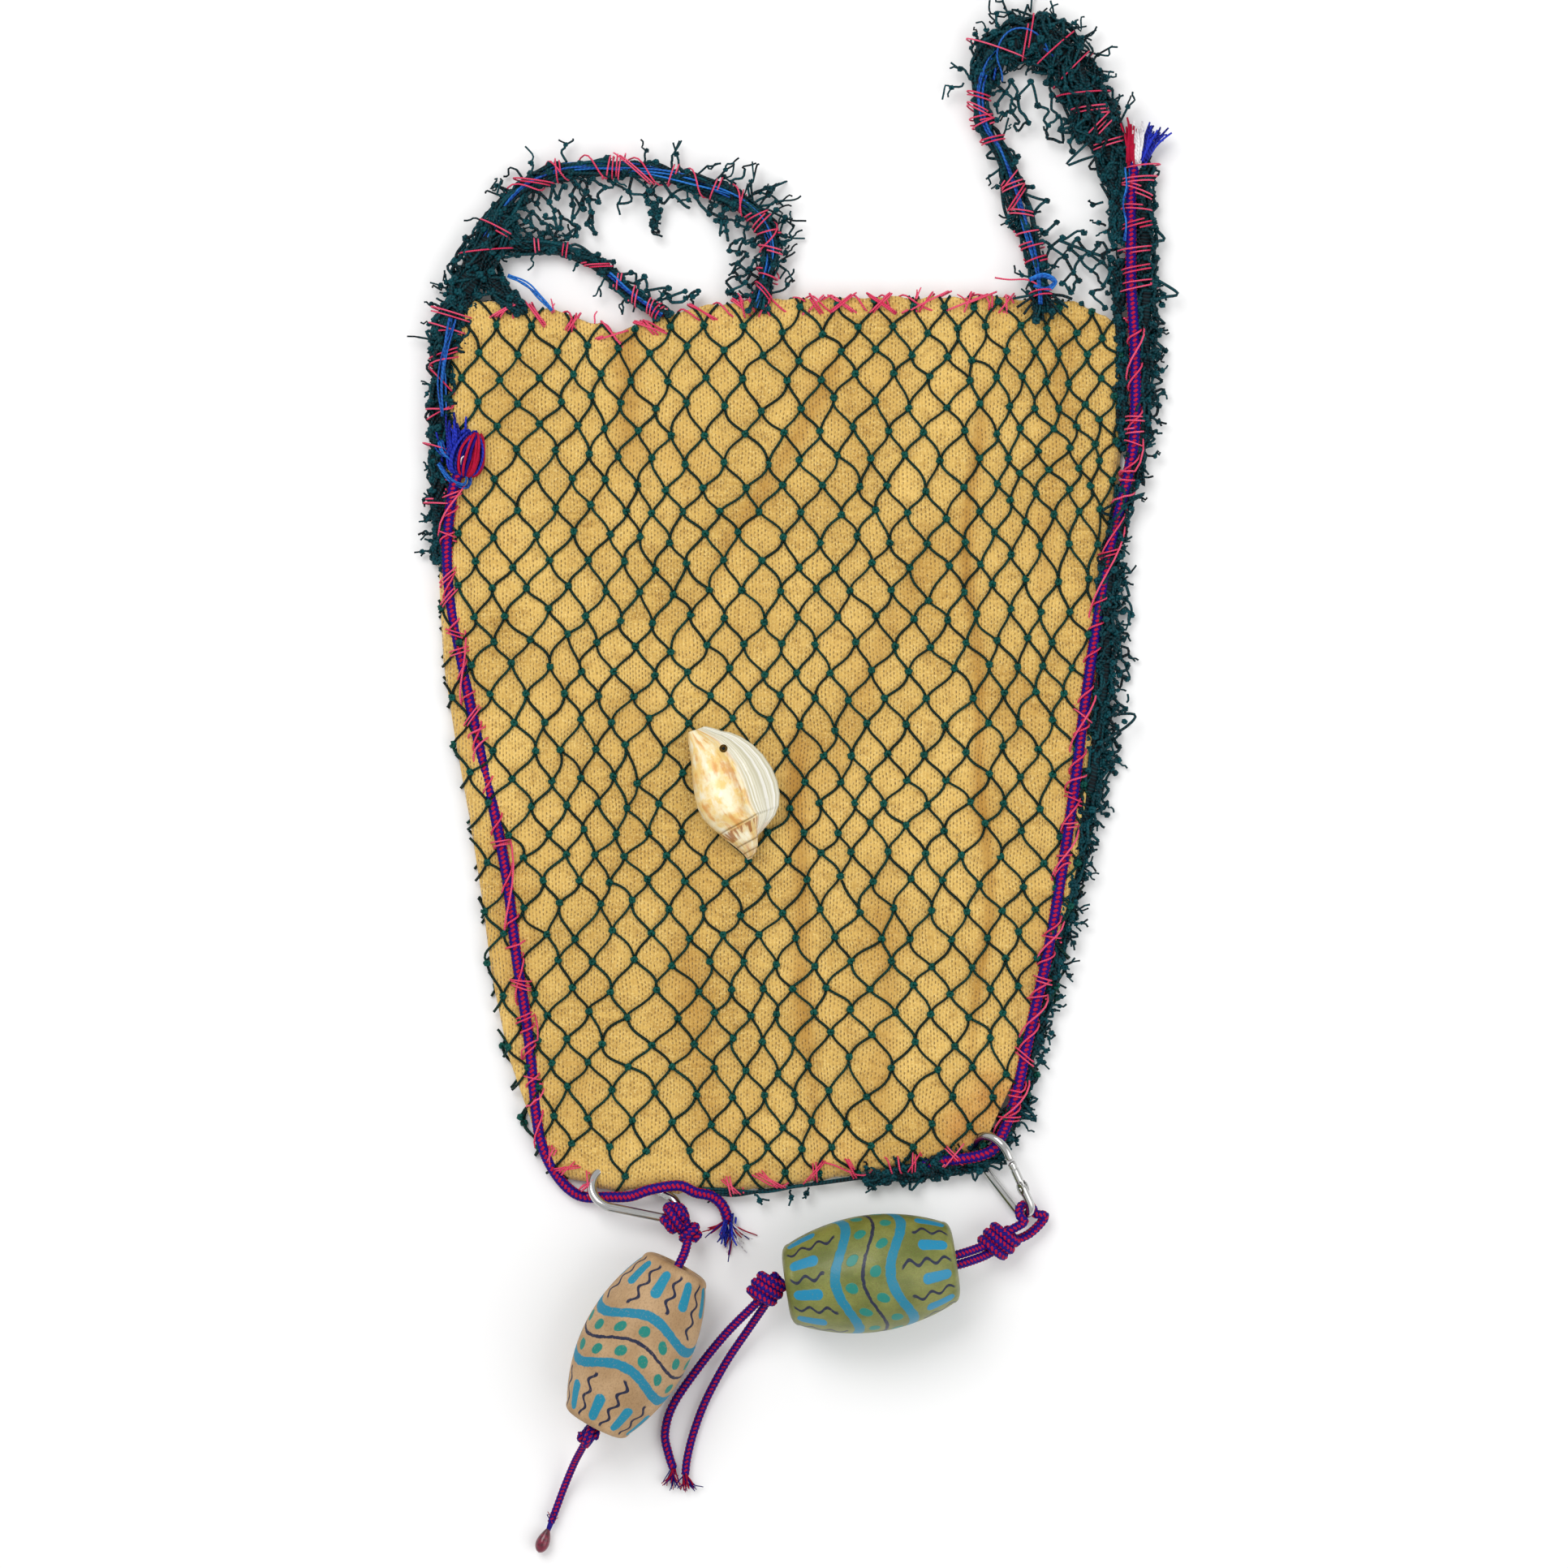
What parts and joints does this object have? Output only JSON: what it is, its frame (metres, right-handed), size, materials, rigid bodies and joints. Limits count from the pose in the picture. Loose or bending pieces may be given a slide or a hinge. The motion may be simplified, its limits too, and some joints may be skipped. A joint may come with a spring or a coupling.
{
  "type": "net tote bag",
  "caption": "Flat net tote bag with a knitted cloth pouch, lashed rope handles, snap hooks and painted fishing floats on braided lanyards, plus a shell charm.",
  "frame": {"origin": "middle of the flat back face that the bag rests on", "axes": "+Z out of the bag's front, +Y from the bottom towards the handles, +X to the right seen from the front"},
  "size_m": [0.3674, 0.7536, 0.057],
  "materials": {
    "net_twine": "dark teal-green braided nylon net twine with hard knots",
    "knit_cloth": "ochre fine knitted cloth with columns of small pinholes",
    "braided_cord": "red and blue-purple diamond-braided cord",
    "lashing_thread": "coral pink twisted thread",
    "blue_strand": "sky-blue rope strands",
    "steel": "polished steel",
    "sea_shell": "cream shell with tan patches and a white lip",
    "float_tan": "matte tan float with hand-painted waves",
    "float_olive": "satin olive float with hand-painted waves",
    "melted_cord": "melted and hardened maroon cord end"
  },
  "bodies": {
    "bag": {"net_back": "net_twine", "cloth_back": "knit_cloth", "cloth_front": "knit_cloth", "net_front": "net_twine", "left_side_cord": "braided_cord", "right_side_cord": "braided_cord", "left_side_lashing": "lashing_thread", "right_side_lashing": "lashing_thread", "left_net_roll": "net_twine", "right_net_roll": "net_twine", "bottom_net_roll": "net_twine", "mouth_stitching": "lashing_thread", "bottom_stitching": "lashing_thread", "left_inner_strand": "net_twine", "shell_tie": "net_twine"},
    "left_handle": {"left_handle_rope": "net_twine", "left_handle_blue_strand": "blue_strand", "left_handle_lashing": "lashing_thread"},
    "right_handle": {"right_handle_rope": "net_twine", "right_handle_blue_strand": "blue_strand", "right_handle_lashing": "lashing_thread", "right_cord_end": "braided_cord"},
    "shell_charm": {"shell": "sea_shell"},
    "left_hook": {"left_hook_frame": "steel", "left_hook_rivet": "steel"},
    "left_gate": {"left_hook_gate": "steel", "left_gate_spring": "steel"},
    "left_lanyard_body": {"left_lanyard": "braided_cord"},
    "left_float_body": {"left_float": "float_tan"},
    "left_tail_body": {"left_tail": "braided_cord", "left_tail_drop": "melted_cord"},
    "right_hook": {"right_hook_frame": "steel", "right_hook_rivet": "steel"},
    "right_gate": {"right_hook_gate": "steel", "right_gate_spring": "steel"},
    "right_lanyard_body": {"right_lanyard": "braided_cord"},
    "right_float_body": {"right_float": "float_olive"},
    "right_tail_body": {"right_tail_strand_a": "braided_cord", "right_tail_strand_b": "braided_cord"}
  },
  "joints": [
    {"name": "left_handle_fold", "type": "hinge", "parent": "bag", "child": "left_handle", "pos_m": [-0.075, 0.222, 0.0066], "axis": [1, 0, 0], "range_deg": [0, 145]},
    {"name": "right_handle_fold", "type": "hinge", "parent": "bag", "child": "right_handle", "pos_m": [0.148, 0.222, 0.0066], "axis": [1, 0, 0], "range_deg": [0, 145]},
    {"name": "shell_turn", "type": "hinge", "parent": "bag", "child": "shell_charm", "pos_m": [-0.028, 0.001, 0.0104], "axis": [0, 0, 1], "range_deg": [-25, 25]},
    {"name": "left_hook_swing", "type": "hinge", "parent": "bag", "child": "left_hook", "pos_m": [-0.082, -0.2145, 0.0082], "axis": [0, 0, 1], "range_deg": [-10, 5]},
    {"name": "left_gate_open", "type": "hinge", "parent": "left_hook", "child": "left_gate", "pos_m": [-0.06063, -0.21602, 0.0046], "axis": [0.1792, 0.4668, 0.866], "range_deg": [0, 20]},
    {"name": "left_lanyard_swing", "type": "hinge", "parent": "left_hook", "child": "left_lanyard_body", "pos_m": [-0.05119, -0.22633, 0.0082], "axis": [0, 0, 1], "range_deg": [-14, 4]},
    {"name": "left_float_spin", "type": "hinge", "parent": "left_lanyard_body", "child": "left_float_body", "pos_m": [-0.0705, -0.29, 0.027], "axis": [-0.4648, -0.8854, 0], "continuous": true},
    {"name": "left_tail_swing", "type": "hinge", "parent": "left_lanyard_body", "child": "left_tail_body", "pos_m": [-0.0938, -0.3342, 0.027], "axis": [0, 0, 1], "range_deg": [-20, 20]},
    {"name": "right_hook_swing", "type": "hinge", "parent": "bag", "child": "right_hook", "pos_m": [0.104, -0.199, 0.0112], "axis": [0, 0, 1], "range_deg": [-4, 8]},
    {"name": "right_gate_open", "type": "hinge", "parent": "right_hook", "child": "right_gate", "pos_m": [0.11853, -0.21419, 0.01672], "axis": [-0.6566, -0.3945, 0.6428], "range_deg": [0, 20]},
    {"name": "right_lanyard_swing", "type": "hinge", "parent": "right_hook", "child": "right_lanyard_body", "pos_m": [0.121, -0.22729, 0.0112], "axis": [0, 0, 1], "range_deg": [-4, 12]},
    {"name": "right_float_spin", "type": "hinge", "parent": "right_lanyard_body", "child": "right_float_body", "pos_m": [0.044, -0.255, 0.0285], "axis": [0.9897, 0.143, 0], "continuous": true},
    {"name": "right_tail_swing", "type": "hinge", "parent": "right_lanyard_body", "child": "right_tail_body", "pos_m": [-0.007, -0.2626, 0.0285], "axis": [0, 0, 1], "range_deg": [-8, 12]}
  ]
}
